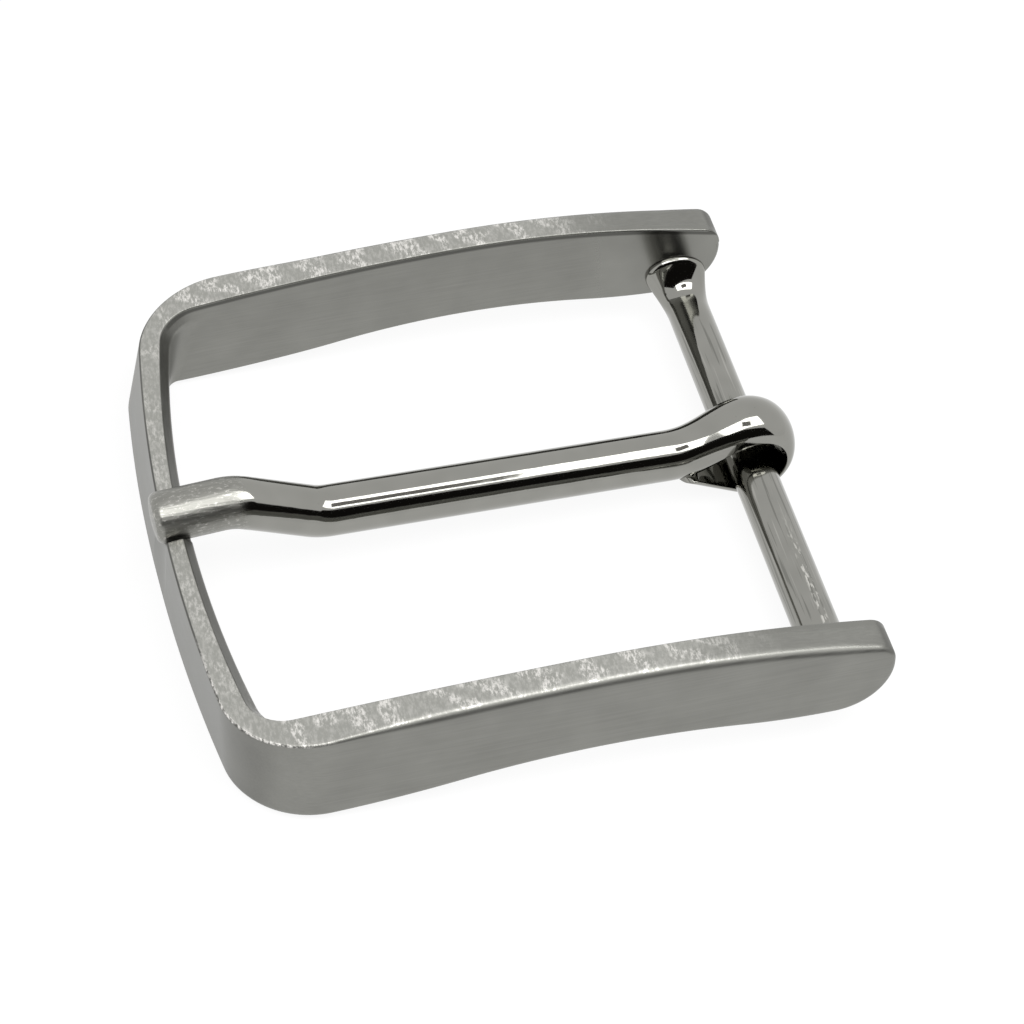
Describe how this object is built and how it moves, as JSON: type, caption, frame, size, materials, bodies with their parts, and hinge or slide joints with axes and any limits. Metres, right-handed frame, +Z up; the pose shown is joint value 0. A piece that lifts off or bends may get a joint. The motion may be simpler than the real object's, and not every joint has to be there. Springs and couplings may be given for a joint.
{
  "type": "belt buckle",
  "caption": "Single-prong strap buckle: an arched cast frame with a dropped round heel bar, and a loose swinging prong that rests in a notch in the front bar.",
  "frame": {"origin": "on the heel bar's axis, midway between the two side plates", "axes": "+X to the rear, away from the prong's tip, parallel to the table; +Y along the heel bar; +Z up from the table that the buckle lies on"},
  "size_m": [0.0467, 0.045, 0.01],
  "materials": {
    "satin_nickel": "cast zinc alloy, nickel plated, brushed satin",
    "polished_nickel": "cast zinc alloy, nickel plated, polished bright"
  },
  "bodies": {
    "frame": {"frame": "satin_nickel"},
    "prong": {"prong": "polished_nickel"}
  },
  "joints": [
    {"name": "prong_swing", "type": "hinge", "parent": "frame", "child": "prong", "pos_m": [0, 0, 0], "axis": [0, 1, 0], "range_deg": [0, 344]}
  ]
}
